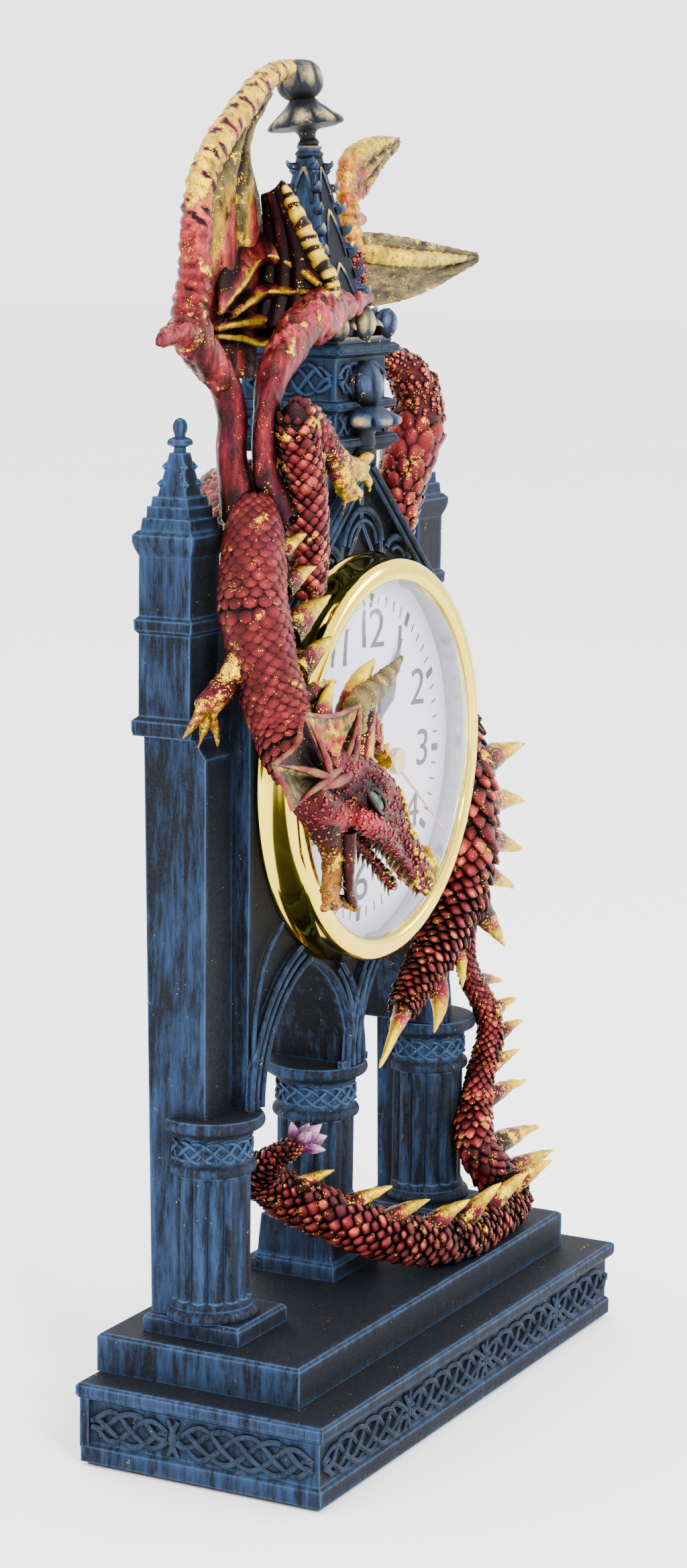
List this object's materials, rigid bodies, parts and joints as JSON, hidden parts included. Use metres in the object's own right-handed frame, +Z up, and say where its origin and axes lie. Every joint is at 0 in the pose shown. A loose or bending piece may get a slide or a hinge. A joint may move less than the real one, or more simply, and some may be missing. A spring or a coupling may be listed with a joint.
{
  "type": "mantel clock with dragon",
  "caption": "Gothic tower mantel clock: plinth, arcade of columns, gabled front with a round quartz insert and spire, a winged dragon wound round it.",
  "frame": {"origin": "middle of the felt underside, on the table", "axes": "+X to the right seen from the front, +Y to the back, +Z up; the dial faces -Y"},
  "size_m": [0.153, 0.0667, 0.2994],
  "materials": {
    "stone": "near-black resin dry-brushed mid blue",
    "felt": "black felt",
    "scales": "metallic crimson resin",
    "wing": "metallic crimson resin, cream tips",
    "bone": "cream resin, dark streaks",
    "claw": "antique gold paint",
    "gem": "lilac pearl paint",
    "eye": "glossy green paint",
    "gilt": "polished",
    "glass": "clear",
    "silver": "satin",
    "paper": "printed lilac-white",
    "hand_grey": "satin",
    "hand_red": "pink-red paint",
    "black_plastic": "moulded",
    "white_plastic": "moulded",
    "brass": "stamped",
    "steel": "bright",
    "board": "circuit board",
    "cell": "printed jacket"
  },
  "bodies": {
    "case": {"felt_pad": "felt", "plinth_slab": "stone", "plinth_step": "stone", "foot_plate_left": "stone", "foot_plate_right": "stone", "foot_plate_middle": "stone", "pier_left": "stone", "pier_right": "stone", "column_left": "stone", "column_right": "stone", "column_middle": "stone", "tower_left": "stone", "tower_right": "stone", "tower_roof_left": "stone", "tower_roof_right": "stone", "clock_front": "stone", "arch_mouldings": "stone", "gable_mouldings": "stone", "turret": "stone", "crown_of_buds": "stone", "spire": "stone", "spire_finial": "stone", "gable_finial": "stone", "bezel": "gilt", "lens": "glass", "inner_ring": "silver", "dial": "paper", "insert_cup": "black_plastic", "back_cover": "black_plastic", "battery_cell": "cell", "battery_contact": "steel", "train_plate": "white_plastic", "coil_and_board": "board", "dragon_neck": "scales", "dragon_head": "scales", "dragon_jaw": "scales", "dragon_horn_near": "bone", "dragon_horn_far": "scales", "dragon_eye_near": "eye", "dragon_eye_far": "eye", "dragon_wing_left": "wing", "dragon_wing_inner": "wing", "dragon_wing_right": "wing", "dragon_arm": "scales", "dragon_hand_left": "claw", "dragon_body": "scales", "dragon_hind_leg": "scales", "dragon_tail": "scales", "dragon_tail_gem": "gem"},
    "hour": {"hour_hand": "hand_grey", "hour_wheel": "brass"},
    "minute": {"minute_hand": "hand_grey", "minute_wheel": "brass"},
    "second": {"second_hand": "hand_red", "second_arbor": "steel"},
    "motion_and_knob": {"motion_wheel": "white_plastic", "set_knob": "black_plastic"},
    "third": {"third_wheel": "white_plastic"},
    "door": {"battery_door": "black_plastic"}
  },
  "joints": [
    {"name": "minute_spin", "type": "hinge", "parent": "case", "child": "minute", "pos_m": [0, 0, 0.146], "axis": [0, 1, 0], "continuous": true},
    {"name": "hour_spin", "type": "hinge", "parent": "case", "child": "hour", "pos_m": [0, 0, 0.146], "axis": [0, 1, 0], "continuous": true},
    {"name": "motion_spin", "type": "hinge", "parent": "case", "child": "motion_and_knob", "pos_m": [0.0072, 0, 0.146], "axis": [0, 1, 0], "continuous": true},
    {"name": "third_spin", "type": "hinge", "parent": "case", "child": "third", "pos_m": [-0.0072, 0, 0.146], "axis": [0, 1, 0], "continuous": true},
    {"name": "second_spin", "type": "hinge", "parent": "case", "child": "second", "pos_m": [0, 0, 0.146], "axis": [0, 1, 0], "continuous": true},
    {"name": "door_slide", "type": "slide", "parent": "case", "child": "door", "axis": [0, 1, 0], "range_m": [0, 0.03]}
  ],
  "couplings": [
    {"joint": "hour_spin", "follows": "minute_spin", "ratio": 0.083333},
    {"joint": "motion_spin", "follows": "minute_spin", "ratio": -0.33333},
    {"joint": "third_spin", "follows": "minute_spin", "ratio": -8},
    {"joint": "second_spin", "follows": "minute_spin", "ratio": 60}
  ]
}
